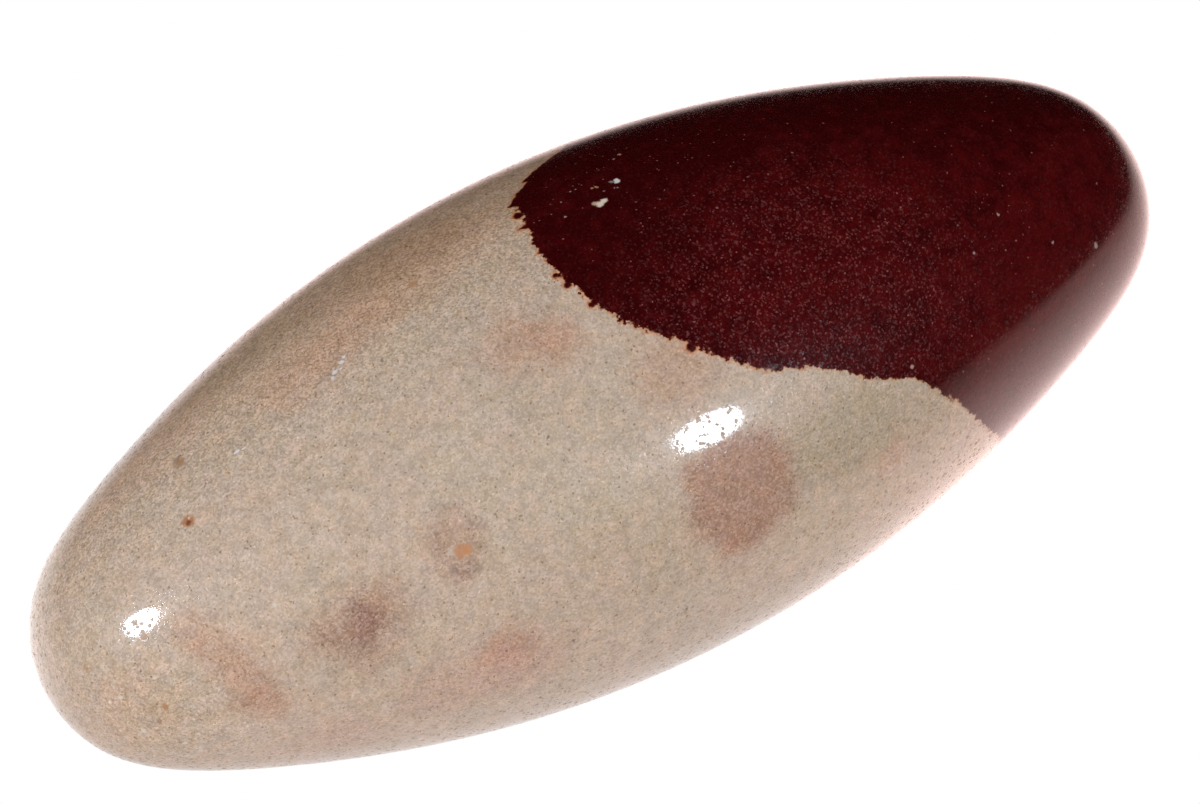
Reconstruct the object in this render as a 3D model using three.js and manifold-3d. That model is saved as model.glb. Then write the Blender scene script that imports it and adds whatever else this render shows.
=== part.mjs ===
// A shiva lingam stone: one solid, tumbled and hand-polished river stone, round in section,
// with two evenly rounded ends. It lies on its side on a small flat spot ground on its underside.
//
// Millimetres, +Z up, long axis along X with the dark red end at +X.
// The origin is on the surface that the stone rests on, under the middle of the stone.

import * as THREE from "three";
import { mergeVertices } from "three/addons/utils/BufferGeometryUtils.js";
import Module from "manifold-3d";

// Driving sizes, in millimetres.
const length = 80; // tip to tip, along X
const width = 34.2; // across the belly, along Y
const height = 31.4; // along Z, before the flat spot is ground
const flatDepth = 0.5; // what the flat spot takes off the underside
const bow = 0.43; // how far the two tips lean towards -Y

// How the outline differs from an ellipsoid's, as shares of the stone's thickness.
const shoulderSlimming = 0.15; // taken off between the belly and the tips
const tipFullness = 0.31; // given back at the tips, which are blunter than an ellipsoid's
const tipPower = 8; // keeps that fullness to the last fifth of each end
const ripple = 0.003; // the slight unevenness that grinding by hand leaves

// Facets along each edge of the icosahedron that the surface is drawn from.
const facetsPerEdge = 18;

const wasm = await Module();
wasm.setup();

// The point of the stone's surface that lies in a unit direction from its centre. The ellipsoid
// with the stone's length, width and height is thinned and filled along X, then bowed.
function surfacePoint(direction) {
  const along = direction.x;
  const unevenness =
    Math.sin(6 * direction.y + 3 * along) * Math.sin(5 * direction.z - 4 * along);
  const fullness =
    1 -
    shoulderSlimming * along ** 2 +
    tipFullness * along ** tipPower +
    ripple * unevenness;
  return new THREE.Vector3(
    (length / 2) * along,
    (width / 2) * direction.y * fullness - bow * along ** 2,
    (height / 2) * direction.z * fullness,
  );
}

// The stone before grinding, as a closed surface of nearly even facets.
function pebbleGeometry() {
  const geometry = new THREE.IcosahedronGeometry(1, facetsPerEdge - 1);
  const position = geometry.getAttribute("position");
  const direction = new THREE.Vector3();
  for (let i = 0; i < position.count; i++) {
    direction.fromBufferAttribute(position, i).normalize();
    position.setXYZ(i, ...surfacePoint(direction));
  }
  return geometry;
}

// Everything that grinding the flat spot removes: a block under the plane of the flat.
function groundAwayGeometry() {
  const blockHeight = height;
  const flatLevel = -height / 2 + flatDepth;
  return new THREE.BoxGeometry(2 * length, 2 * width, blockHeight).translate(
    0,
    0,
    flatLevel - blockHeight / 2,
  );
}

function solidOf(geometry) {
  const bare = geometry.clone();
  bare.deleteAttribute("normal");
  bare.deleteAttribute("uv");
  const merged = mergeVertices(bare);
  return new wasm.Manifold(
    new wasm.Mesh({
      numProp: 3,
      vertProperties: merged.getAttribute("position").array,
      triVerts: new Uint32Array(merged.index.array),
    }),
  );
}

function geometryOf(solid) {
  const mesh = solid.getMesh();
  const geometry = new THREE.BufferGeometry();
  geometry.setAttribute("position", new THREE.BufferAttribute(mesh.vertProperties, 3));
  geometry.setIndex(new THREE.BufferAttribute(mesh.triVerts, 1));
  geometry.computeVertexNormals();
  return geometry;
}

const polishedSandstone = new THREE.MeshStandardMaterial({
  color: 0xb9a590,
  roughness: 0.15,
  metalness: 0,
});

// The stone is set down with its flat spot at z = 0 and its middle over the origin.
function lingamStone() {
  const geometry = geometryOf(solidOf(pebbleGeometry()).subtract(solidOf(groundAwayGeometry())));
  const stone = new THREE.Mesh(geometry, polishedSandstone);
  stone.name = "lingam_stone";
  geometry.computeBoundingBox();
  const { min, max } = geometry.boundingBox;
  stone.position.set(-(min.x + max.x) / 2, -(min.y + max.y) / 2, -min.z);
  return stone;
}

const part = new THREE.Group();
part.add(lingamStone());

export default part;
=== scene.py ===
import math

import bpy
import numpy as np
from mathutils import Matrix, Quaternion, Vector


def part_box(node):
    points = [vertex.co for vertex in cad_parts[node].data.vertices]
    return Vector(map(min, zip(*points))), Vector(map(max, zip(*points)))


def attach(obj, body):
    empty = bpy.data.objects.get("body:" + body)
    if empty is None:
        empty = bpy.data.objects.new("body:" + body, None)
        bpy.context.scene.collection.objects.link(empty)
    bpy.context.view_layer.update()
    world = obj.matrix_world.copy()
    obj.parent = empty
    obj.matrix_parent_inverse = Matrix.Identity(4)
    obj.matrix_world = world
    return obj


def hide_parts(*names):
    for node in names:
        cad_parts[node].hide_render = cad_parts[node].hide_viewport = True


# A polished river stone with one dark red end, lying on its side.
# Everything is in metres, +Z up, with the red end at +X. Patterns are laid out in millimetres.

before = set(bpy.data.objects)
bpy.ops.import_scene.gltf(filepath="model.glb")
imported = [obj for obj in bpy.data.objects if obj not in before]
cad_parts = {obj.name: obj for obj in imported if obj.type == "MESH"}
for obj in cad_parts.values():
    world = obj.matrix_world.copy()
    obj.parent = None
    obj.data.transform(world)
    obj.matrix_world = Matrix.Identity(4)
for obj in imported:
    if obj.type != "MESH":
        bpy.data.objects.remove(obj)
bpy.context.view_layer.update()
scene = bpy.context.scene
scene.view_settings.view_transform = "Standard"
perMetre = 1000  # millimetres in a metre
print("frame loaded")


# The camera.
cameraSetup = {
    "azimuth": -30.3,  # degrees, from looking along +Y
    "elevation": 57.0,  # degrees above the floor
    "distance": 0.45,  # metres
    "lens": 211.1,  # millimetres, as is the sensor
    "sensor": 36,
    "aim": (0.00046, 0.00043, 0.01559),
    "nearest": 0.01,  # nothing closer than this is drawn
}


# The unit vector towards an azimuth and an elevation, both in degrees.
def direction(azimuth, elevation):
    a, e = math.radians(azimuth), math.radians(elevation)
    return Vector((math.sin(a) * math.cos(e), -math.cos(a) * math.cos(e), math.sin(e)))


# A camera that looks at the aim from the given direction and distance, all of it in focus.
def makeCamera(setup):
    data = bpy.data.cameras.new("camera")
    data.lens = setup["lens"]
    data.sensor_width = setup["sensor"]
    data.clip_start = setup["nearest"]
    data.dof.use_dof = False
    camera = bpy.data.objects.new("camera", data)
    back = direction(setup["azimuth"], setup["elevation"])
    camera.location = Vector(setup["aim"]) + back * setup["distance"]
    camera.rotation_mode = "QUATERNION"
    camera.rotation_quaternion = (-back).to_track_quat("-Z", "Y")
    scene.collection.objects.link(camera)
    scene.camera = camera


makeCamera(cameraSetup)
print("camera placed")


# Gives an input its value, either a number or a link from another node.
def feed(tree, socket, value):
    if isinstance(value, bpy.types.NodeSocket):
        tree.links.new(value, socket)
    elif socket.type == "RGBA" and len(value) == 3:
        socket.default_value = (*value, 1)
    else:
        socket.default_value = value


# Adds a node with its input values and its own settings, placed in rows of twelve.
def addNode(tree, kind, values=None, **settings):
    node = tree.nodes.new(kind)
    node.location = (200 * (len(tree.nodes) % 12), -260 * (len(tree.nodes) // 12))
    for name, setting in settings.items():
        setattr(node, name, setting)
    for name, value in (values or {}).items():
        feed(tree, node.inputs[name], value)
    return node


def calc(tree, operation, *values):
    node = addNode(tree, "ShaderNodeMath", operation=operation)
    for socket, value in zip(node.inputs, values):
        feed(tree, socket, value)
    return node.outputs[0]


def calcVector(tree, operation, *values):
    node = addNode(tree, "ShaderNodeVectorMath", operation=operation)
    for socket, value in zip(node.inputs, values):
        feed(tree, socket, value)
    return node.outputs["Value" if operation in ("LENGTH", "DOT_PRODUCT") else "Vector"]


def axisOf(tree, position, axis):
    return addNode(tree, "ShaderNodeSeparateXYZ", {"Vector": position}).outputs[axis]


# A position in metres, turned into millimetres.
def inMillimetres(tree, position):
    values = {"Vector": position, "Scale": (perMetre, perMetre, perMetre)}
    return addNode(tree, "ShaderNodeMapping", values).outputs[0]


# Turns the range low..high of a value into 0..1 with soft ends. high may be the lower one.
def smoothStep(tree, value, low, high):
    values = {"Value": value, "From Min": low, "From Max": high}
    return addNode(tree, "ShaderNodeMapRange", values, interpolation_type="SMOOTHSTEP").outputs[0]


# Turns 0..1 into the range low..high.
def blend(tree, value, low, high):
    values = {"Value": value, "To Min": low, "To Max": high}
    return addNode(tree, "ShaderNodeMapRange", values).outputs[0]


# Mixes two colours. The node's colour sockets are inputs 6 and 7 and output 2.
def mixColor(tree, factor, first, second, mode="MIX"):
    node = addNode(tree, "ShaderNodeMix", data_type="RGBA", blend_type=mode)
    feed(tree, node.inputs[0], factor)
    feed(tree, node.inputs[6], first)
    feed(tree, node.inputs[7], second)
    return node.outputs[2]


def shadeOf(tree, value):
    return addNode(tree, "ShaderNodeCombineColor", {"Red": value, "Green": value, "Blue": value}).outputs[0]


def noise(tree, position, scale, detail, roughness=0.5):
    values = {"Vector": position, "Scale": scale, "Detail": detail, "Roughness": roughness}
    return addNode(tree, "ShaderNodeTexNoise", values).outputs


# Noise whose range low..high becomes 0..1 with soft ends.
def clouds(tree, position, scale, detail, roughness, low, high):
    return smoothStep(tree, noise(tree, position, scale, detail, roughness)["Fac"], low, high)


# Noise spread over the range low..high.
def mottle(tree, position, scale, detail, roughness, low, high):
    return blend(tree, noise(tree, position, scale, detail, roughness)["Fac"], low, high)


# Moves a position about by noise, by up to about a third of the amount.
def jitter(tree, position, scale, detail, amount):
    shift = calcVector(tree, "SUBTRACT", noise(tree, position, scale, detail)["Color"], (0.5, 0.5, 0.5))
    return calcVector(tree, "ADD", position, calcVector(tree, "MULTIPLY", shift, (amount, amount, amount)))


# An empty node group with its inputs and their values, and its outputs.
def makeGroup(name, inputs, outputs):
    tree = bpy.data.node_groups.new(name, "ShaderNodeTree")
    for socketName, default in inputs.items():
        kind = "NodeSocketVector" if isinstance(default, tuple) else "NodeSocketFloat"
        socket = tree.interface.new_socket(socketName, in_out="INPUT", socket_type=kind)
        socket.default_value = default
    for socketName in outputs:
        tree.interface.new_socket(socketName, in_out="OUTPUT", socket_type="NodeSocketFloat")
    entry = addNode(tree, "NodeGroupInput")
    leave = addNode(tree, "NodeGroupOutput")
    return tree, entry.outputs, leave.inputs


def useGroup(tree, group, values):
    return addNode(tree, "ShaderNodeGroup", values, node_tree=group).outputs


# A round patch with a soft edge: 1 inside the inner radius, falling to 0 at the outer one.
def makeSoftSpot():
    inputs = {"Position": (0, 0, 0), "Centre": (0, 0, 0), "Stretch": (1, 1, 1), "Inner": 0.5, "Outer": 1.0}
    tree, given, made = makeGroup("softSpot", inputs, ["Mask"])
    offset = calcVector(tree, "SUBTRACT", given["Position"], given["Centre"])
    distance = calcVector(tree, "LENGTH", calcVector(tree, "MULTIPLY", offset, given["Stretch"]))
    tree.links.new(smoothStep(tree, distance, given["Outer"], given["Inner"]), made["Mask"])
    return tree


# A straight soft edge: 1 where position . direction is well past the offset, 0 well before it.
def makeSoftEdge():
    inputs = {"Position": (0, 0, 0), "Direction": (1, 0, 0), "Offset": 0.0, "Softness": 1.0}
    tree, given, made = makeGroup("softEdge", inputs, ["Mask"])
    along = calcVector(tree, "DOT_PRODUCT", given["Position"], given["Direction"])
    past = calc(tree, "SUBTRACT", along, given["Offset"])
    start = calc(tree, "MULTIPLY", given["Softness"], -1.0)
    tree.links.new(smoothStep(tree, past, start, given["Softness"]), made["Mask"])
    return tree


# Sand grains: a cell pattern in which each grain has a shade and a chance from 0 to 1.
def makeSandGrains():
    tree, given, made = makeGroup("sandGrains", {"Position": (0, 0, 0), "Size": 0.2}, ["Shade", "Chance"])
    scale = calc(tree, "DIVIDE", 1.0, given["Size"])
    cells = addNode(tree, "ShaderNodeTexVoronoi", {"Vector": given["Position"], "Scale": scale})
    shades = addNode(tree, "ShaderNodeSeparateColor", {"Color": cells.outputs["Color"]})
    tree.links.new(shades.outputs["Red"], made["Shade"])
    tree.links.new(shades.outputs["Green"], made["Chance"])
    return tree


# Scattered specks: one in each cell of a cell pattern, kept for a share of the cells. Each is
# half to one and a half times the radius, and its edge falls off over the outer four tenths.
def makeSpecks():
    inputs = {"Position": (0, 0, 0), "Spacing": 1.0, "Radius": 0.1, "Share": 0.5}
    tree, given, made = makeGroup("specks", inputs, ["Mask"])
    scale = calc(tree, "DIVIDE", 1.0, given["Spacing"])
    cells = addNode(tree, "ShaderNodeTexVoronoi", {"Vector": given["Position"], "Scale": scale})
    distance = calc(tree, "MULTIPLY", cells.outputs["Distance"], given["Spacing"])
    chances = addNode(tree, "ShaderNodeSeparateColor", {"Color": cells.outputs["Color"]}).outputs
    radius = calc(tree, "MULTIPLY", given["Radius"], calc(tree, "ADD", 0.5, chances["Green"]))
    inside = smoothStep(tree, distance, radius, calc(tree, "MULTIPLY", radius, 0.6))
    kept = calc(tree, "LESS_THAN", chances["Red"], given["Share"])
    tree.links.new(calc(tree, "MULTIPLY", inside, kept), made["Mask"])
    return tree


# A pointed tooth that widens towards +X from its tip. Depth is how far inside it a point lies:
# (x - tip x) slope - distance from the line through the tip along X.
def makeTooth():
    tree, given, made = makeGroup("tooth", {"Position": (0, 0, 0), "Tip": (0, 0, 0), "Slope": 0.3}, ["Depth"])
    offset = calcVector(tree, "SUBTRACT", given["Position"], given["Tip"])
    along = axisOf(tree, offset, "X")
    aside = calcVector(tree, "LENGTH", calcVector(tree, "MULTIPLY", offset, (0, 1, 1)))
    depth = calc(tree, "SUBTRACT", calc(tree, "MULTIPLY", along, given["Slope"]), aside)
    tree.links.new(depth, made["Depth"])
    return tree


softSpot = makeSoftSpot()
softEdge = makeSoftEdge()
sandGrains = makeSandGrains()
specks = makeSpecks()
tooth = makeTooth()


# How much of a soft spot shows at a position, from 0 to 1.
def maskOf(tree, position, centre, inner, outer, stretch=(1, 1, 1)):
    spot = {"Position": position, "Centre": centre, "Stretch": stretch, "Inner": inner, "Outer": outer}
    return useGroup(tree, softSpot, spot)["Mask"]


# The stone's shape. Sizes are in millimetres.
stoneShape = {
    "flatDepth": 0.5,  # what the flat spot takes off the underside
    "flatEdge": 0.04,  # how softly the flat spot runs into the round
    "bow": 0.43,  # how far the tips lean towards -Y
    "shoulderSlimming": 0.15,  # taken off between belly and tips, as a share of the thickness
    "tipFullness": 0.31,  # given back at the tips
    "tipPower": 8,  # keeps that to the last fifth of each end
    "ripple": 0.003,  # slight unevenness
    "polishWaves": 0.00009,  # what hand polishing leaves, as a share of the thickness
    "rings": 320,  # along the stone
    "sides": 300,  # round the stone
    # Where the red end starts: the angle round the stone, in degrees from +Y over the top,
    # and the place along it in millimetres.
    "capEdge": [
        (0, 10.8),
        (25, 7.8),
        (40, 4.6),
        (47, 1.9),
        (50, 1.2),
        (53, 0.5),
        (58, -0.9),
        (61, -1.25),
        (67, -1.5),
        (73, -1.9),
        (83, -2.15),
        (88.5, -1.75),
        (93, -1.4),
        (98, -0.95),
        (104, -0.05),
        (110, 1.45),
        (113, 2.5),
        (120, 4.2),
        (128, 6.8),
        (130.5, 9.0),
        (135, 10.9),
        (142, 13.5),
        (144.5, 15.4),
        (149, 16.4),
        (160, 18.5),
        (172, 20.2),
        (185, 21.7),
        (215, 22.6),
        (245, 21.0),
        (280, 18.0),
        (320, 14.2),
    ],
    "edgeStep": 0.5,  # degrees between the points at which that edge is worked out
    "edgeRounding": 1.2,  # degrees over which its corners are rounded
}


# The stone's surface. Directions from its centre, (a, b, c) on a unit ball, are turned into
# x = length/2 a, y = width/2 b m - bow a^2, z = height/2 c m, with
# m = 1 - slimming a^2 + fullness a^power + ripple sin(6b + 3a) sin(5c - 4a)
#     + waves (sin(50a + 21b) sin(19c - 45a) + sin(17b - 31a + 2) sin(23c + 37a)).
# Below the flat spot z is held at the flat by a soft maximum.
def stoneSurface(shape, low, high):
    length, width, height = (high - low) * perMetre
    height += shape["flatDepth"]
    lengthwise = np.linspace(0, math.pi, shape["rings"] + 1)[:, None]
    around = np.linspace(0, 2 * math.pi, shape["sides"], endpoint=False)[None, :]
    a = np.cos(lengthwise) + 0 * around
    b = np.sin(lengthwise) * np.cos(around)
    c = np.sin(lengthwise) * np.sin(around)
    m = 1 - shape["shoulderSlimming"] * a**2 + shape["tipFullness"] * a ** shape["tipPower"]
    m += shape["ripple"] * np.sin(6 * b + 3 * a) * np.sin(5 * c - 4 * a)
    waves = np.sin(50 * a + 21 * b) * np.sin(19 * c - 45 * a)
    waves += np.sin(17 * b - 31 * a + 2) * np.sin(23 * c + 37 * a)
    m += shape["polishWaves"] * waves
    x = length / 2 * a
    y = width / 2 * b * m - shape["bow"] * a**2
    z = height / 2 * c * m
    aboveFlat = z + height / 2 - shape["flatDepth"]
    z = shape["flatEdge"] * np.logaddexp(0, aboveFlat / shape["flatEdge"])
    return x, y, z


# How far inside the red end a point lies, in millimetres:
# (x - edge(angle)) / sqrt(1 + (slope(angle) / radius)^2). The edge's points are joined by
# straight lines and rounded by a bell curve, over one turn and half a turn more at each end.
def capDepth(shape, x, y, z, centreHeight):
    angle = np.degrees(np.arctan2(z - centreHeight, y))
    knots = np.array(shape["capEdge"])
    steps = np.arange(-180, 540, shape["edgeStep"])
    edge = np.interp(steps, *knots.T, period=360)
    aside = np.arange(-8, 9) * shape["edgeStep"]  # eight steps each way
    bell = np.exp(-0.5 * (aside / shape["edgeRounding"]) ** 2)
    edge = np.convolve(edge, bell / bell.sum(), mode="same")
    slope = np.gradient(edge, np.radians(steps))
    inside = (steps >= 0) & (steps < 360)
    radius = np.hypot(y, z - centreHeight) + 1e-6
    edgeHere = np.interp(angle, steps[inside], edge[inside], period=360)
    slopeHere = np.interp(angle, steps[inside], slope[inside], period=360)
    return (x - edgeHere) / np.hypot(1, slopeHere / radius)


# The stone as one closed mesh of rings of four-sided faces, with a fan of triangles at each pole.
def makeStone(shape):
    low, high = (Vector(corner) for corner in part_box("lingam_stone"))
    x, y, z = stoneSurface(shape, np.array(low), np.array(high))
    centreHeight = (high - low).z * perMetre / 2 - shape["flatDepth"] / 2
    depth = capDepth(shape, x, y, z, centreHeight)
    x, y = x - (x.max() + x.min()) / 2, y - (y.max() + y.min()) / 2
    middle = np.array([(low.x + high.x) / 2, (low.y + high.y) / 2, low.z])
    points = np.stack([x, y, z], -1) / perMetre + middle
    rings, sides = shape["rings"], shape["sides"]
    number = np.arange((rings + 1) * sides).reshape(rings + 1, sides)
    number[0], number[-1] = number[0, 0], number[-1, 0]  # each pole is one point
    here, there = number[:-1], number[1:]
    quads = np.stack([here, np.roll(here, -1, 1), np.roll(there, -1, 1), there], -1)
    used = np.unique(number)
    renumber = np.zeros(number.size, int)
    renumber[used] = np.arange(len(used))
    body = renumber[quads[1:-1].reshape(-1, 4)]
    firstFan = renumber[quads[0][:, [0, 2, 3]]]
    lastFan = renumber[quads[-1][:, [0, 1, 2]]]
    mesh = bpy.data.meshes.new("polished_stone")
    faces = body.tolist() + firstFan.tolist() + lastFan.tolist()
    mesh.from_pydata(points.reshape(-1, 3)[used].tolist(), [], faces)
    mesh.shade_smooth()
    attribute = mesh.attributes.new("capDepth", "FLOAT", "POINT")
    attribute.data.foreach_set("value", depth.reshape(-1)[used].astype(np.float32))
    stone = bpy.data.objects.new("polished_stone", mesh)
    scene.collection.objects.link(stone)
    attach(stone, "root")
    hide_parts("lingam_stone")
    return stone


# The stone's finish. Colours are linear, sizes in millimetres. Clouds are noise, given as its
# scale, detail and roughness and the lowest and highest value. Jitters are noise that moves a
# pattern about, given as its scale, detail and amount. Spans are where a change along the stone
# or across it starts and ends.
stoneLook = {
    # the pale part
    "greenish": (0.634, 0.487, 0.362),
    "tan": (0.660, 0.492, 0.370),
    "tanClouds": (0.16, 4, 0.55, 0.36, 0.64),
    "rosy": (0.676, 0.482, 0.362),
    "rosyClouds": (0.55, 4, 0.6, 0.50, 0.72),
    "rosyStrength": 0.7,
    "warmTint": (1.02, 0.95, 0.80),
    "coolTint": (0.985, 1.00, 1.03),
    "warmClouds": (0.9, 2, 0.6, 0.34, 0.66),
    "warmStrength": (0.35, 0.48),  # in general and at the low tip
    "shadeClouds": (1.1, 4, 0.65, 0.66, 1.34),
    "backPaintedTint": (1.04, 0.97, 0.91),  # painted shade: the side that faces away is a little browner
    "backPaintedTintSpan": (1.0, 9.0),
    "backPaintedShade": (0.80, 0.79, 0.76),  # and darker further down, more painted shade
    "backPaintedShadeSpan": (6.2, 9.2),
    "stainJitters": ((0.5, 5, 2.2), (3.5, 2, 1.0)),
    "stainGrain": (1.35, 0.65),  # strength of a stain from dark grains to pale ones
    "markJitter": (3.0, 3, 0.35),
    # sand grains
    "grainSize": 0.12,
    "grainContrast": (0.32, 0.62),  # from the front to the back
    "grainContrastSpan": (-4.0, 6.0),
    "lowTipContrast": 0.12,  # what the low tip has on top
    "redContrast": 0.94,  # dark grains are a little warmer than pale ones
    "blueContrast": 1.15,
    "darkGrain": (0.68, 0.62, 0.56),
    "darkGrainShare": 0.015,
    "paleGrain": (1.15, 1.16, 1.19),
    "paleGrainShare": 0.03,
    # the red end
    "capDeep": (0.044, 0.0006, 0.0012),
    "capRed": (0.088, 0.0024, 0.0030),
    "capClouds": ((0.9, 3, 0.6, -1.3, 1.3), (0.3, 2, 0.5, -0.6, 0.6)),
    "capGrain": (0.80, 1.20),  # shade of its darkest and palest grains
    # pale dust on single grains, partly a painted sheen of the polish
    "capDustAndSheen": (0.135, 0.048, 0.045),
    "dustAndSheenRareness": 8.0,  # the higher it is, the fewer grains carry dust and painted sheen
    "dustAndSheenStrength": (0.12, 1.0),  # in general and in the patch of dust and painted sheen
    "capFleck": (0.36, 0.14, 0.12),
    "capFleckStrength": 0.7,
    "capFleckClouds": (0.22, 3, 0.5, 0.42, 0.66),
    "capFleckShare": (0.08, 0.36),
    "capFleckSpacing": 0.34,
    "capFleckRadius": 0.06,
    "capFleckJitter": (5.0, 2, 0.2),
    "chipJitter": (3.0, 3, 0.3),
    # its edge: depths inside it, below 0 outside
    "edgeRise": ((1.6, 4, 0.6), (5.0, 2, 0.5)),  # coarse and fine unevenness, as noise
    "edgeRiseHeight": ((1.0, 1.35), (0.2, 0.4)),  # of each, on the right and on the left
    "edgeRiseSpan": (8.0, 0.0),
    "toothJitter": (2.5, 4, 0.35),
    "capStart": (-0.05, 0.07),
    "capRim": (0.150, 0.030, 0.014),
    "capRimStart": (0.16, 0.0),
    "capRimStrength": 0.8,
    "fringe": (1.05, 0.66, 0.46),
    "paleFringe": (1.03, 0.86, 0.74),
    "fringeStart": (-0.24, -0.04),
    "fringeSpan": (14.0, -1.0),  # from the pale fringe on the right to the brown one
    "fringeClouds": (1.4, 2, 0.5, 0.30, 0.55),
    "fringeStrength": (0.4, 1.0),
    # the polish
    "gloss": 0.06,  # roughness
    "hazeWeight": (0.15, 0.55),  # lowest and highest, from grain to grain
    "capHaze": 0.45,  # share of the haze in the red end
    "hazeRoughness": 0.36,
    "waviness": (7.0, 1),  # noise scale and detail
    "gritClouds": (10.0, 1, 0.5, 0.62, 0.78),
    "gritSpan": (-20.0, -28.0),
    # heights in thousandths of a millimetre
    "wavinessHeight": 1.6,
    "gritHeight": (4.0, 0.8),  # in general and at the low tip
    "pitDepth": 7.0,
    # pits in it
    "pitRoughness": 0.8,
    "pitSpacing": 0.4,
    "pitRadius": 0.125,
    "pitShare": 0.9,
    "pitJitter": (6.0, 2, 0.12),
    "raggedPits": (3.6, 2, 0.5, 0.67, 0.71),
    "pittedSpotJitter": (6.0, 2, 0.3),
    "capPits": 0.3,  # how strong pits are in the red end
    "pitTint": (0.6, 0.5, 0.45),
    "pitTintStrength": 0.25,
}

# Teeth of the red end: the tip of each, and how fast it widens.
teeth = [
    ((0.49, 10.39, 27.67), 0.70),
    ((-0.58, 9.36, 28.34), 0.70),
    ((-1.57, 8.54, 28.78), 0.80),
    ((-2.2, 6.11, 29.83), 0.45),
    ((-2.2, 4.42, 30.34), 0.90),
    ((-2.38, 3.55, 30.52), 0.60),
    ((0.95, -4.94, 30.22), 0.60),
]

# Islands and lobes of the red end's colour: centre and radius.
islands = [
    ((-1.45, 7.35, 29.4), 0.36),
    ((-2.15, 1.37, 30.82), 0.22),
    ((-1.95, 0.36, 30.87), 0.25),
    ((-1.3, -0.36, 30.89), 0.16),
    ((-1.12, -1.55, 30.83), 0.25),
    ((-1.36, -1.61, 30.82), 0.22),
    ((-0.85, -1.45, 30.83), 0.20),
    ((2.75, -6.75, 29.5), 0.34),
]

# Coloured patches in the pale part: centre, inner and outer radius, colour that the stone's own
# is multiplied by, strength, and a stretch where one isn't round: below 1 it is longer that way.
stains = [
    # the large round patch by the red end
    ((2.1, -14.3, 23.7), 2.7, 4.9, (0.79, 0.60, 0.56), 1.0),
    ((-0.8, -12.7, 25.7), 0.2, 1.2, (0.88, 0.74, 0.66), 0.7),
    # the grey-purple patch
    ((-22.6, -10.5, 23.1), 0.2, 2.0, (0.68, 0.56, 0.57), 0.9),
    ((-23.0, -10.6, 23.0), 0.6, 4.0, (0.82, 0.72, 0.69), 0.9, (0.75, 1, 1)),
    ((-25.0, -9.9, 22.6), 0.2, 2.0, (0.88, 0.79, 0.76), 0.8),
    ((-23.4, -12.2, 20.8), 0.2, 1.8, (0.90, 0.81, 0.78), 0.8),
    ((-21.0, -9.9, 24.2), 0.2, 1.9, (0.92, 0.82, 0.78), 0.8),
    # round the orange dot
    ((-15.6, -9.8, 26.1), 0.5, 3.2, (0.86, 0.76, 0.73), 0.95),
    ((-15.9, -11.2, 24.9), 0.1, 1.1, (0.74, 0.68, 0.68), 0.9, (0.7, 1, 1)),
    # pink along the top and the upper back
    ((-6.4, -1.9, 30.5), 0.6, 3.2, (0.97, 0.82, 0.77), 1.0, (0.8, 1, 1)),
    ((-4.2, -2.8, 30.5), 0.3, 2.6, (0.98, 0.86, 0.81), 0.9),
    ((1.2, -7.6, 29.3), 0.6, 3.8, (0.98, 0.85, 0.80), 0.9, (0.8, 1, 1)),
    ((-19.2, 4.7, 27.8), 0.6, 3.6, (0.97, 0.87, 0.82), 0.8, (0.8, 1, 1)),
    ((-14.6, 5.6, 28.5), 0.8, 3.6, (0.97, 0.86, 0.81), 0.8, (0.7, 1, 1)),
    ((-10.0, 6.2, 29.0), 0.8, 3.6, (0.97, 0.87, 0.81), 0.8, (0.8, 1, 1)),
    ((-5.8, 8.0, 28.8), 0.8, 3.8, (0.97, 0.89, 0.84), 0.7, (0.8, 1, 1)),
    ((-9.3, 9.6, 27.4), 0.8, 3.4, (0.96, 0.90, 0.84), 0.8, (0.5, 1, 1)),
    # pink low on the front
    ((-15.2, -14.7, 19.9), 0.5, 2.4, (0.98, 0.84, 0.81), 0.8, (0.8, 1, 1)),
    ((-14.8, -15.3, 18.2), 1.0, 4.2, (0.96, 0.83, 0.82), 0.9, (0.8, 1, 1)),
    ((-20.0, -14.1, 17.6), 0.6, 3.6, (0.96, 0.85, 0.84), 0.8, (0.8, 1, 1)),
    ((-25.6, -12.6, 15.2), 0.6, 3.4, (0.95, 0.87, 0.85), 0.8, (0.8, 1, 1)),
    ((0.4, -16.2, 20.2), 0.5, 2.4, (0.95, 0.87, 0.86), 0.7),
    ((12.8, -15.0, 20.2), 0.3, 1.8, (1.0, 0.88, 0.83), 0.9),
    # the streak below the small highlight
    ((-32.0, -5.4, 22.9), 0.4, 2.2, (0.97, 0.86, 0.82), 0.9),
    ((-31.0, -7.3, 22.0), 0.5, 2.5, (0.96, 0.84, 0.80), 0.9),
    ((-30.2, -9.3, 20.2), 0.5, 2.6, (0.92, 0.79, 0.75), 0.95),
    ((-29.4, -10.5, 18.8), 0.3, 2.1, (0.93, 0.81, 0.78), 0.9),
    # ochre at the low tip
    ((-36.2, -6.4, 18.8), 1.0, 4.0, (1.0, 0.94, 0.89), 0.7),
    # olive grounds
    ((10.2, -13.8, 23.4), 1.2, 4.0, (0.86, 0.88, 0.82), 0.95, (0.55, 1, 1)),
    ((16.5, -14.2, 20.4), 0.6, 3.2, (0.92, 0.93, 0.88), 0.8, (0.7, 1, 1)),
    ((-7.1, -12.8, 25.2), 0.6, 4.0, (0.95, 0.96, 0.91), 0.8, (0.7, 1, 1)),
    ((-3.4, -14.8, 22.8), 0.6, 3.0, (0.95, 0.96, 0.91), 0.8, (0.8, 1, 1)),
    # the paler ground low on the right
    ((8.5, -16.5, 17.8), 1.5, 5.0, (1.08, 1.06, 1.03), 0.9, (0.5, 1, 1)),
]

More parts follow.
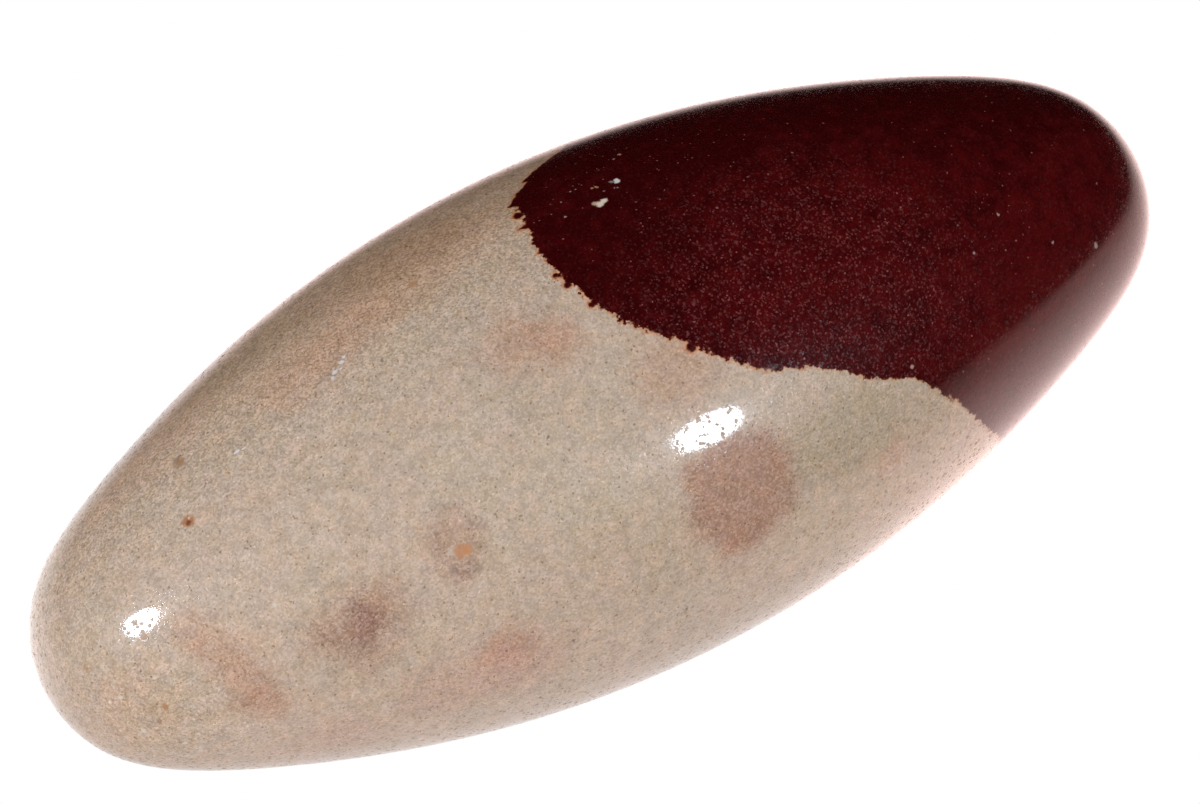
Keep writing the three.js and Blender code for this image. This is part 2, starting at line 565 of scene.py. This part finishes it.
# Small marks: centre, radius, colour and strength, and a stretch where one isn't round.
marks = [
    ((-16.15, -10.15, 25.75), 0.36, (0.76, 0.62, 0.50), 0.5),
    ((-15.75, -10.35, 25.7), 0.50, (0.62, 0.29, 0.14), 0.85),
    ((-15.3, -10.45, 25.68), 0.36, (0.64, 0.29, 0.13), 0.8),
    ((-14.4, -9.5, 26.65), 0.22, (0.25, 0.15, 0.10), 0.4),
    ((-16.6, -8.9, 26.5), 0.20, (0.25, 0.15, 0.10), 0.4),
    ((-16.6, -10.9, 25.0), 0.36, (0.19, 0.15, 0.13), 0.3),
    ((-15.2, -11.5, 24.8), 0.36, (0.19, 0.14, 0.13), 0.3),
    ((-29.1, 0.2, 25.4), 0.46, (0.52, 0.19, 0.06), 0.85),
    ((-29.15, 0.1, 25.4), 0.20, (0.12, 0.035, 0.02), 0.7),
    # a painted glint on the dark-centred orange dot
    ((-28.9, 0.35, 25.45), 0.10, (0.86, 0.70, 0.58), 0.8),
    ((-27.5, 4.5, 25.1), 0.55, (0.30, 0.18, 0.10), 0.45),
    ((-27.4, 4.35, 25.2), 0.30, (0.50, 0.25, 0.10), 0.7),
    ((-9.56, 6.35, 29.13), 0.32, (0.54, 0.26, 0.11), 0.7),
    ((-35.1, -7.3, 19.0), 0.22, (0.50, 0.22, 0.09), 0.7),
    ((-38.2, -2.8, 19.7), 0.20, (0.52, 0.26, 0.12), 0.6),
    ((-34.6, -3.98, 22.2), 0.28, (0.58, 0.36, 0.22), 0.7),
    ((11.6, -15.5, 19.5), 0.16, (0.50, 0.22, 0.10), 0.6),
    ((11.3, -15.7, 19.1), 0.13, (0.42, 0.18, 0.10), 0.6),
    ((5.5, -16.9, 14.5), 0.20, (0.50, 0.24, 0.12), 0.6),
    ((-7.5, -6.4, 29.4), 0.14, (0.46, 0.24, 0.12), 0.5),
    ((0.3, -17.1, 15.1), 0.18, (0.42, 0.20, 0.10), 0.6),
    ((-35.7, -7.5, 18.0), 0.20, (0.28, 0.15, 0.08), 0.55),
    ((7.7, -16.1, 19.3), 0.13, (0.28, 0.16, 0.11), 0.6),
    ((6.3, -16.6, 17.9), 0.13, (0.28, 0.16, 0.11), 0.5),
    ((3.3, -16.6, 18.6), 0.13, (0.28, 0.16, 0.11), 0.5),
    ((10.4, -16.3, 13.8), 0.16, (0.28, 0.16, 0.11), 0.5),
    ((-12.2, -2.7, 29.7), 0.22, (0.60, 0.44, 0.22), 0.45),
    ((-16.1, -2.7, 29.0), 0.20, (0.60, 0.44, 0.22), 0.45),
    ((-17.6, -0.2, 28.9), 0.20, (0.60, 0.44, 0.22), 0.45),
    ((-16.2, -1.3, 29.2), 0.18, (0.60, 0.44, 0.22), 0.4),
    ((-23.0, 3.9, 26.9), 0.20, (0.60, 0.44, 0.22), 0.4),
    ((-14.2, 2.1, 29.5), 0.13, (0.20, 0.15, 0.11), 0.6),
    ((-7.9, -7.6, 28.8), 0.14, (0.16, 0.12, 0.09), 0.7),
    ((-37.1, -6.9, 16.3), 0.14, (0.18, 0.12, 0.09), 0.6),
    ((-10.9, -15.8, 18.8), 0.14, (0.14, 0.08, 0.05), 0.7),
    ((-16.2, 10.3, 25.5), 0.15, (0.80, 0.76, 0.70), 0.7),
    ((-36.6, -7.1, 17.1), 0.20, (0.80, 0.71, 0.60), 0.8),
    ((-34.6, -8.7, 16.2), 0.18, (0.80, 0.71, 0.60), 0.8),
    ((-33.8, -9.2, 15.7), 0.16, (0.80, 0.71, 0.60), 0.7),
    ((-37.2, -5.4, 19.1), 0.18, (0.80, 0.71, 0.60), 0.8),
    ((-35.1, -6.0, 20.6), 0.15, (0.80, 0.71, 0.60), 0.7),
    ((-27.0, -7.1, 24.1), 0.15, (0.80, 0.71, 0.60), 0.8),
    ((-15.9, 3.95, 28.8), 0.11, (0.86, 0.84, 0.84), 0.9, (0.8, 0.8, 1)),
    ((-16.25, 3.65, 28.8), 0.13, (0.86, 0.84, 0.84), 0.9, (0.6, 0.8, 1)),
    ((-16.55, 3.3, 28.85), 0.12, (0.86, 0.84, 0.84), 0.9, (0.5, 1, 1)),
    ((-16.9, 3.25, 28.75), 0.13, (0.86, 0.84, 0.84), 0.9, (0.6, 0.8, 1)),
    ((-17.2, 2.95, 28.7), 0.10, (0.86, 0.84, 0.84), 0.8, (0.8, 0.8, 1)),
    ((-24.5, 2.34, 26.8), 0.11, (0.86, 0.84, 0.84), 0.9, (0.4, 1, 1)),
    ((-24.0, 2.2, 26.95), 0.10, (0.86, 0.84, 0.84), 0.9, (0.5, 1, 1)),
    ((-23.6, 2.25, 27.0), 0.08, (0.86, 0.84, 0.84), 0.8, (0.6, 1, 1)),
]

# Scattered flecks in the pale part: spacing, radius, share, colour that the stone's own is
# multiplied by, strength, and where they lie: centre, inner and outer radius.
everywhere = ((0, 0, 15), 80, 90)
lowTip = ((-35.5, -7, 18), 2, 9)
lowRight = ((7, -15.8, 18), 3, 11)
flecks = [
    (0.8, 0.16, 0.30, (1.0, 0.88, 0.74), 0.5, everywhere),
    (0.5, 0.06, 0.30, (0.58, 0.48, 0.40), 0.6, everywhere),
    (0.5, 0.12, 0.45, (1.36, 1.46, 1.60), 0.9, lowTip),
    (0.5, 0.12, 0.30, (0.92, 0.74, 0.62), 0.6, lowTip),
    (0.45, 0.12, 0.50, (0.82, 0.68, 0.58), 0.6, lowRight),
]

# Chips in the red end: centre, radius and colour, and strength and stretch where they aren't 1.
chips = [
    ((2.92, 5.32, 30.06), 0.20, (0.62, 0.42, 0.28)),
    ((3.19, 5.09, 30.12), 0.29, (0.90, 0.72, 0.57)),
    ((3.54, 5.20, 30.07), 0.26, (0.92, 0.75, 0.59)),
    ((4.79, 6.50, 29.56), 0.14, (0.26, 0.22, 0.21)),
    ((5.15, 6.38, 29.58), 0.25, (0.84, 0.77, 0.72)),
    ((4.70, 5.90, 29.78), 0.08, (0.40, 0.30, 0.29)),
    ((4.88, 5.79, 29.81), 0.08, (0.40, 0.30, 0.29)),
    ((3.99, 5.97, 29.80), 0.10, (0.40, 0.30, 0.29)),
    ((3.81, 6.64, 29.57), 0.12, (0.45, 0.22, 0.12)),
    ((3.54, 6.70, 29.56), 0.12, (0.45, 0.22, 0.12)),
    ((2.29, 7.26, 29.38), 0.09, (0.34, 0.26, 0.26)),
    ((2.65, 7.26, 29.37), 0.09, (0.34, 0.26, 0.26)),
    ((1.03, 7.28, 29.40), 0.08, (0.34, 0.24, 0.22)),
    ((1.30, 6.73, 29.62), 0.08, (0.34, 0.24, 0.22)),
    ((0.22, 6.13, 29.86), 0.07, (0.34, 0.24, 0.22)),
    ((0.85, 5.40, 30.09), 0.11, (0.50, 0.38, 0.32)),
    ((6.22, 8.56, 28.50), 0.12, (0.40, 0.24, 0.16)),
    ((6.75, 8.78, 28.32), 0.12, (0.40, 0.24, 0.16)),
    ((32.3, -8.0, 20.5), 0.22, (0.42, 0.28, 0.22)),
    ((15.9, -11.95, 24.1), 0.14, (0.46, 0.28, 0.22)),
    ((23.3, -7.3, 25.4), 0.12, (0.38, 0.26, 0.25)),
    ((29.1, -7.7, 22.75), 0.12, (0.38, 0.26, 0.25)),
    ((26.2, -5.5, 25.3), 0.12, (0.38, 0.26, 0.25)),
    ((3.2, -2.0, 30.7), 0.08, (0.34, 0.28, 0.27), 1.0, (0.5, 1, 1)),
]

# Where the red end is redder: centre, inner and outer radius and stretch, and by how much.
redPatches = [
    (((8.2, -2.5, 19.4), 8.8, 13.4, (0.5, 1, 1)), 0.86),
    (((28.6, -6.4, 14.1), 9, 13, (0.47, 1, 1)), 0.68),
]

# Where fine dust and painted sheen lie in the red end: centre, inner and outer radius and stretch.
dustAndSheenPatch = ((11, -7, 28), 5, 13, (0.8, 1, 1))

# Where pale flecks lie thicker in the red end: centre, inner and outer radius, and extra share.
fleckClusters = [
    (((26.3, -6.8, 24.6), 0.5, 3.2), 0.45),
    (((16.7, -6.6, 27.7), 0.5, 6.0), 0.22),
    (((3.5, 7.0, 29.5), 0.5, 4.0), 0.20),
]

# Patches where the polish is broken by pits: centre and radius.
pittedSpots = [
    ((-34.7, -3.03, 22.5), 0.20),
    ((-34.6, -3.98, 22.2), 0.30),
    ((-33.8, -4.08, 22.6), 0.22),
    ((-33.1, -3.6, 23.1), 0.12),
    ((0.2, -10.7, 27.5), 0.16),
    ((-0.9, -11.3, 27.0), 0.17),
    ((-0.7, -11.0, 27.2), 0.14),
    ((1.75, -10.8, 27.35), 0.14),
    ((2.1, -11.1, 27.1), 0.11),
    ((3.35, -11.35, 26.85), 0.15),
    ((2.2, -11.8, 26.5), 0.12),
    ((1.1, -11.8, 26.55), 0.13),
    ((0.85, -11.65, 26.7), 0.13),
    ((1.2, -10.55, 27.55), 0.10),
    ((3.3, -10.7, 27.35), 0.12),
]


# Depth inside the red end with its uneven edge, its teeth and its islands, in millimetres: the
# largest of smooth depth + unevenness, each tooth's depth and radius - distance of each island.
def redEndDepth(tree, look, position, smoothDepth):
    leftward = smoothStep(tree, axisOf(tree, position, "X"), *look["edgeRiseSpan"])
    depth = smoothDepth
    for pattern, heights in zip(look["edgeRise"], look["edgeRiseHeight"]):
        rise = calc(tree, "SUBTRACT", noise(tree, position, *pattern)["Fac"], 0.5)
        rise = calc(tree, "MULTIPLY", rise, blend(tree, leftward, *heights))
        depth = calc(tree, "ADD", depth, rise)
    uneven = jitter(tree, position, *look["toothJitter"])
    for tip, slope in teeth:
        reach = useGroup(tree, tooth, {"Position": uneven, "Tip": tip, "Slope": slope})["Depth"]
        depth = calc(tree, "MAXIMUM", depth, reach)
    for centre, radius in islands:
        offset = calcVector(tree, "SUBTRACT", uneven, centre)
        inside = calc(tree, "SUBTRACT", radius, calcVector(tree, "LENGTH", offset))
        depth = calc(tree, "MAXIMUM", depth, inside)
    return depth


# Paints a small round spot, whole to 0.55 of its radius and gone at 1.2 of it.
def addSpot(tree, color, position, centre, radius, paint, strength=1.0, stretch=(1, 1, 1)):
    mask = maskOf(tree, position, centre, radius * 0.55, radius * 1.2, stretch)
    return mixColor(tree, calc(tree, "MULTIPLY", mask, strength), color, paint)


# Tan stone with greenish and rosy clouds, with painted shade: browner and darker on the side that faces away.
def groundColor(tree, look, position, across):
    color = mixColor(tree, clouds(tree, position, *look["tanClouds"]), look["greenish"], look["tan"])
    rosy = calc(tree, "MULTIPLY", clouds(tree, position, *look["rosyClouds"]), look["rosyStrength"])
    color = mixColor(tree, rosy, color, look["rosy"])
    # painted shade: browner, then darker, on the side that faces away
    for name in ("backPaintedTint", "backPaintedShade"):
        back = smoothStep(tree, across, *look[name + "Span"])
        color = mixColor(tree, back, color, look[name], "MULTIPLY")
    return color


# Stains with crumbly edges, stronger in dark grains than in pale ones.
def addStains(tree, look, color, position, grains):
    wide, narrow = look["stainJitters"]
    crumbly = jitter(tree, jitter(tree, position, *wide), *narrow)
    patchyGrain = blend(tree, grains["Shade"], *look["stainGrain"])
    for centre, inner, outer, tint, strength, *stretch in stains:
        mask = maskOf(tree, crumbly, centre, inner, outer, *stretch)
        mask = calc(tree, "MULTIPLY", calc(tree, "MULTIPLY", mask, strength), patchyGrain)
        color = mixColor(tree, mask, color, tint, "MULTIPLY")
    return color


# Sand grains, each 1 + (shade - 0.5) contrast, with a few much darker or paler ones.
def addGrains(tree, look, color, across, atLowTip, grains):
    contrast = blend(tree, smoothStep(tree, across, *look["grainContrastSpan"]), *look["grainContrast"])
    contrast = calc(tree, "MULTIPLY_ADD", atLowTip, look["lowTipContrast"], contrast)
    grain = calc(tree, "MULTIPLY", calc(tree, "SUBTRACT", grains["Shade"], 0.5), contrast)
    shades = {
        "Red": calc(tree, "MULTIPLY_ADD", grain, look["redContrast"], 1.0),
        "Green": calc(tree, "ADD", grain, 1.0),
        "Blue": calc(tree, "MULTIPLY_ADD", grain, look["blueContrast"], 1.0),
    }
    grainColor = addNode(tree, "ShaderNodeCombineColor", shades).outputs[0]
    color = mixColor(tree, 1.0, color, grainColor, "MULTIPLY")
    dark = calc(tree, "LESS_THAN", grains["Chance"], look["darkGrainShare"])
    color = mixColor(tree, dark, color, look["darkGrain"], "MULTIPLY")
    pale = calc(tree, "GREATER_THAN", grains["Chance"], 1 - look["paleGrainShare"])
    return mixColor(tree, pale, color, look["paleGrain"], "MULTIPLY")


# The pale part: the ground with its stains, warm, cool, dark and pale clouds, sand grains, flecks
# and small marks.
def bodyColor(tree, look, position, grains):
    across = axisOf(tree, position, "Y")
    atLowTip = maskOf(tree, position, *lowTip)
    color = groundColor(tree, look, position, across)
    color = addStains(tree, look, color, position, grains)
    warm = clouds(tree, position, *look["warmClouds"])
    hue = mixColor(tree, warm, look["coolTint"], look["warmTint"])
    color = mixColor(tree, blend(tree, atLowTip, *look["warmStrength"]), color, hue, "MULTIPLY")
    shade = shadeOf(tree, mottle(tree, position, *look["shadeClouds"]))
    color = mixColor(tree, 1.0, color, shade, "MULTIPLY")
    color = addGrains(tree, look, color, across, atLowTip, grains)
    fine = jitter(tree, position, *look["markJitter"])
    for spacing, radius, share, tint, strength, place in flecks:
        fleck = {"Position": fine, "Spacing": spacing, "Radius": radius, "Share": share}
        mask = calc(tree, "MULTIPLY", useGroup(tree, specks, fleck)["Mask"], strength)
        mask = calc(tree, "MULTIPLY", mask, maskOf(tree, position, *place))
        color = mixColor(tree, mask, color, tint, "MULTIPLY")
    for mark in marks:
        color = addSpot(tree, color, fine, *mark)
    return color


# The fringe of the red end, laid over the pale part: brown on the left and paler on the right.
def addFringe(tree, look, color, position, depth):
    leftward = smoothStep(tree, axisOf(tree, position, "X"), *look["fringeSpan"])
    tint = mixColor(tree, leftward, look["paleFringe"], look["fringe"])
    patchy = blend(tree, clouds(tree, position, *look["fringeClouds"]), *look["fringeStrength"])
    fringe = calc(tree, "MULTIPLY", smoothStep(tree, depth, *look["fringeStart"]), patchy)
    return mixColor(tree, fringe, color, tint, "MULTIPLY")


# Pale flecks in the red end, thicker in clouds and clusters.
def addCapFlecks(tree, look, color, position):
    share = blend(tree, clouds(tree, position, *look["capFleckClouds"]), *look["capFleckShare"])
    for place, extra in fleckClusters:
        cluster = calc(tree, "MULTIPLY", maskOf(tree, position, *place), extra)
        share = calc(tree, "ADD", share, cluster)
    fleck = {
        "Position": jitter(tree, position, *look["capFleckJitter"]),
        "Spacing": look["capFleckSpacing"],
        "Radius": look["capFleckRadius"],
        "Share": share,
    }
    mask = calc(tree, "MULTIPLY", useGroup(tree, specks, fleck)["Mask"], look["capFleckStrength"])
    return mixColor(tree, mask, color, look["capFleck"])


# The red end: deep maroon, redder in patches and clouds, with sand grains, dust and painted sheen
# as strong as each grain's chance^rareness, pale flecks, a brighter rim and chips.
def capColor(tree, look, position, depth, grains):
    redness = 0.0
    for place, strength in redPatches:
        patch = calc(tree, "MULTIPLY", maskOf(tree, position, *place), strength)
        redness = calc(tree, "ADD", redness, patch)
    for pattern in look["capClouds"]:
        redness = calc(tree, "ADD", redness, mottle(tree, position, *pattern))
    color = mixColor(tree, redness, look["capDeep"], look["capRed"])
    shade = shadeOf(tree, blend(tree, grains["Shade"], *look["capGrain"]))
    color = mixColor(tree, 1.0, color, shade, "MULTIPLY")
    # dust and painted sheen on single grains, strongest in one patch
    dustAndSheen = blend(tree, maskOf(tree, position, *dustAndSheenPatch), *look["dustAndSheenStrength"])
    rare = calc(tree, "POWER", grains["Chance"], look["dustAndSheenRareness"])
    color = mixColor(tree, calc(tree, "MULTIPLY", rare, dustAndSheen), color, look["capDustAndSheen"], "ADD")
    color = addCapFlecks(tree, look, color, position)
    rim = calc(tree, "MULTIPLY", smoothStep(tree, depth, *look["capRimStart"]), look["capRimStrength"])
    color = mixColor(tree, rim, color, look["capRim"])
    uneven = jitter(tree, position, *look["chipJitter"])
    for chip in chips:
        color = addSpot(tree, color, uneven, *chip)
    return color


# Pits in the polish: scattered ones, ragged ones and a few close together.
def pitMask(tree, look, position):
    pit = {
        "Position": jitter(tree, position, *look["pitJitter"]),
        "Spacing": look["pitSpacing"],
        "Radius": look["pitRadius"],
        "Share": look["pitShare"],
    }
    ragged = clouds(tree, position, *look["raggedPits"])
    pits = calc(tree, "MAXIMUM", useGroup(tree, specks, pit)["Mask"], ragged)
    uneven = jitter(tree, position, *look["pittedSpotJitter"])
    for centre, radius in pittedSpots:
        pits = calc(tree, "MAXIMUM", pits, maskOf(tree, uneven, centre, radius * 0.6, radius))
    return pits


# Height of the polished surface in thousandths of a millimetre: a slight waviness plus raised
# grains, lower at the low tip, less the pits.
def polishHeight(tree, look, position, pits):
    waviness = noise(tree, position, *look["waviness"])["Fac"]
    height = calc(tree, "MULTIPLY", waviness, look["wavinessHeight"])
    atLowTip = smoothStep(tree, axisOf(tree, position, "X"), *look["gritSpan"])
    grit = clouds(tree, position, *look["gritClouds"])
    grit = calc(tree, "MULTIPLY", grit, blend(tree, atLowTip, *look["gritHeight"]))
    height = calc(tree, "ADD", height, grit)
    return calc(tree, "SUBTRACT", height, calc(tree, "MULTIPLY", pits, look["pitDepth"]))


# The stone's material: the pale part and the red end under one glossy polish, with a thin haze
# in it as a rougher coat.
def makeStoneMaterial(look, stone):
    material = bpy.data.materials.new("polishedStone")
    material.use_nodes = True
    tree = material.node_tree
    tree.nodes.clear()
    position = inMillimetres(tree, addNode(tree, "ShaderNodeTexCoord").outputs["Object"])
    smoothDepth = addNode(tree, "ShaderNodeAttribute", attribute_name="capDepth").outputs["Fac"]
    depth = redEndDepth(tree, look, position, smoothDepth)
    inCap = smoothStep(tree, depth, *look["capStart"])
    grains = useGroup(tree, sandGrains, {"Position": position, "Size": look["grainSize"]})

    body = bodyColor(tree, look, position, grains)
    body = addFringe(tree, look, body, position, depth)
    cap = capColor(tree, look, position, depth, grains)
    color = mixColor(tree, inCap, body, cap)

    pits = pitMask(tree, look, position)
    pits = calc(tree, "MULTIPLY", pits, blend(tree, inCap, 1.0, look["capPits"]))
    inPit = calc(tree, "MULTIPLY", pits, look["pitTintStrength"])
    color = mixColor(tree, inPit, color, look["pitTint"], "MULTIPLY")
    height = polishHeight(tree, look, position, pits)
    heightUnit = 0.001 / perMetre  # a thousandth of a millimetre
    relief = addNode(tree, "ShaderNodeBump", {"Strength": 1.0, "Distance": heightUnit, "Height": height})
    haze = blend(tree, grains["Chance"], *look["hazeWeight"])
    haze = calc(tree, "MULTIPLY", haze, blend(tree, inCap, 1.0, look["capHaze"]))
    shader = addNode(
        tree,
        "ShaderNodeBsdfPrincipled",
        {
            "Base Color": color,
            "Roughness": blend(tree, pits, look["gloss"], look["pitRoughness"]),
            "Coat Weight": haze,
            "Coat Roughness": look["hazeRoughness"],
            "Normal": relief.outputs[0],
        },
    )
    addNode(tree, "ShaderNodeOutputMaterial", {"Surface": shader.outputs[0]})
    stone.data.materials.append(material)


stone = makeStone(stoneShape)
print("stone made")
makeStoneMaterial(stoneLook, stone)
print("stone coloured")


# The floor and the light. Lengths are in millimetres, angles in degrees.
studio = {
    "tableGlow": (0.70, 0.62, 0.605),  # what the floor gives the stone as soft light
    "skyGlow": (0.24, 0.22, 0.20),
    # What the stone's polish shows of the floor: round pools of light with centre, inner and
    # outer radius, radiance and stretch, and straight edges that cut them off, with direction,
    # offset and softness.
    "aroundPools": [
        ((5, -3, 0), 16, 93, (0.99, 0.93, 0.92), (0.77, 1, 1)),
        ((49, 22.5, 0), 20, 38, (0.60, 0.48, 0.465)),
    ],
    "aroundEdges": [((-0.26, -0.966, 0), -43, 16)],
    "rightPools": [((75, -45, 0), 30, 185, (1.34, 0.82, 0.745))],
    "rightEdges": [
        ((-0.72, -0.695, 0), -69, 32),
        ((0.41, 0.912, 0), -44, 88),
        ((0.82, 0.57, 0), 4, 10),
        ((-0.2, -0.98, 0), -46, 17),
    ],
    "farPools": [((190, -150, 0), 20, 260, (0.36, 0.22, 0.205))],
    "farEdges": [((-0.72, -0.695, 0), -69, 32), ((0.82, 0.57, 0), 4, 10)],
    "leftPools": [
        ((-55, 30, 0), 10, 76, (0.32, 0.31, 0.31)),
        ((-95, 50, 0), 20, 140, (0.61, 0.60, 0.61)),
    ],
    "leftEdges": [((0, 1, 0), 6, 15), ((-0.82, -0.57, 0), 5, 22)],
    "floorSize": 6000,
    "floorDrop": 0.1,  # how far the floor lies below the stone
    # Softboxes: direction, the place on the stone that mirrors them, width and height as seen
    # from the stone, turn, radiance and colour.
    "rightBox": {
        "azimuth": 24.1,
        "elevation": 39.2,
        "spot": (1.4, -11.1, 27.1),
        "across": (7.95, 11.2),
        "turn": -15,
        "radiance": 44,
        "color": (0.86, 1.0, 1.15),
    },
    "leftBox": {
        "azimuth": -85.6,
        "elevation": 46.4,
        "spot": (-34.4, -3.3, 22.6),
        "across": (15.3, 12.3),
        "turn": -12,
        "radiance": 38.5,
        "color": (0.93, 1.0, 1.12),
    },
    "boxDistance": 600,
}


# Light from a set of pools, kept where all the edges let it through.
def poolLight(tree, position, pools, edges):
    light = (0, 0, 0)
    for centre, inner, outer, radiance, *stretch in pools:
        mask = maskOf(tree, position, centre, inner, outer, *stretch)
        light = mixColor(tree, mask, light, radiance, "ADD")
    for towards, offset, softness in edges:
        edge = {"Position": position, "Direction": towards, "Offset": offset, "Softness": softness}
        light = mixColor(tree, useGroup(tree, softEdge, edge)["Mask"], (0, 0, 0), light)
    return light


# The floor is seen as plain white, lights the stone evenly, and shows as pools in its polish.
def makeWhiteFloor(setup):
    material = bpy.data.materials.new("whiteFloor")
    material.use_nodes = True
    tree = material.node_tree
    tree.nodes.clear()
    position = inMillimetres(tree, addNode(tree, "ShaderNodeNewGeometry").outputs["Position"])
    shown = (0, 0, 0)
    for side in ("around", "right", "far", "left"):
        pools = poolLight(tree, position, setup[side + "Pools"], setup[side + "Edges"])
        shown = mixColor(tree, 1.0, shown, pools, "ADD")
    seen = addNode(tree, "ShaderNodeLightPath").outputs
    light = mixColor(tree, seen["Is Glossy Ray"], (0, 0, 0), shown)
    light = mixColor(tree, seen["Is Diffuse Ray"], light, setup["tableGlow"])
    light = mixColor(tree, seen["Is Camera Ray"], light, (1, 1, 1))
    glow = addNode(tree, "ShaderNodeEmission", {"Color": light})
    addNode(tree, "ShaderNodeOutputMaterial", {"Surface": glow.outputs[0]})
    material.cycles.emission_sampling = "NONE"
    size, drop = setup["floorSize"] / perMetre, setup["floorDrop"] / perMetre
    bpy.ops.mesh.primitive_plane_add(size=size, location=(0, 0, -drop))
    floor = bpy.context.object
    floor.name = "floor"
    floor.data.materials.append(material)


# An elliptical light that looks at its spot on the stone. Its width and height are
# 2 distance tan(angle / 2), and its power is pi radiance area.
def makeSoftbox(name, setup):
    box = setup[name]
    distance = setup["boxDistance"] / perMetre
    data = bpy.data.lights.new(name, "AREA")
    data.shape = "ELLIPSE"
    data.size, data.size_y = (2 * distance * math.tan(math.radians(angle / 2)) for angle in box["across"])
    area = math.pi / 4 * data.size * data.size_y
    data.energy = math.pi * box["radiance"] * area
    data.color = box["color"]
    light = bpy.data.objects.new(name, data)
    towards = direction(box["azimuth"], box["elevation"])
    light.location = Vector(box["spot"]) / perMetre + towards * distance
    light.rotation_mode = "QUATERNION"
    turn = Quaternion((0, 0, 1), math.radians(box["turn"]))
    light.rotation_quaternion = towards.to_track_quat("Z", "Y") @ turn
    light.visible_camera = False
    scene.collection.objects.link(light)


# The world is white behind the floor, dim to soft light and black in reflections.
def makeWorld(setup):
    world = bpy.data.worlds.new("studio")
    world.use_nodes = True
    scene.world = world
    tree = world.node_tree
    tree.nodes.clear()
    path = addNode(tree, "ShaderNodeLightPath").outputs
    glow = mixColor(tree, path["Is Diffuse Ray"], (0, 0, 0), setup["skyGlow"])
    glow = mixColor(tree, path["Is Camera Ray"], glow, (1, 1, 1))
    background = addNode(tree, "ShaderNodeBackground", {"Color": glow})
    addNode(tree, "ShaderNodeOutputWorld", {"Surface": background.outputs[0]})


makeWhiteFloor(studio)
makeSoftbox("rightBox", studio)
makeSoftbox("leftBox", studio)
makeWorld(studio)
print("studio lit")
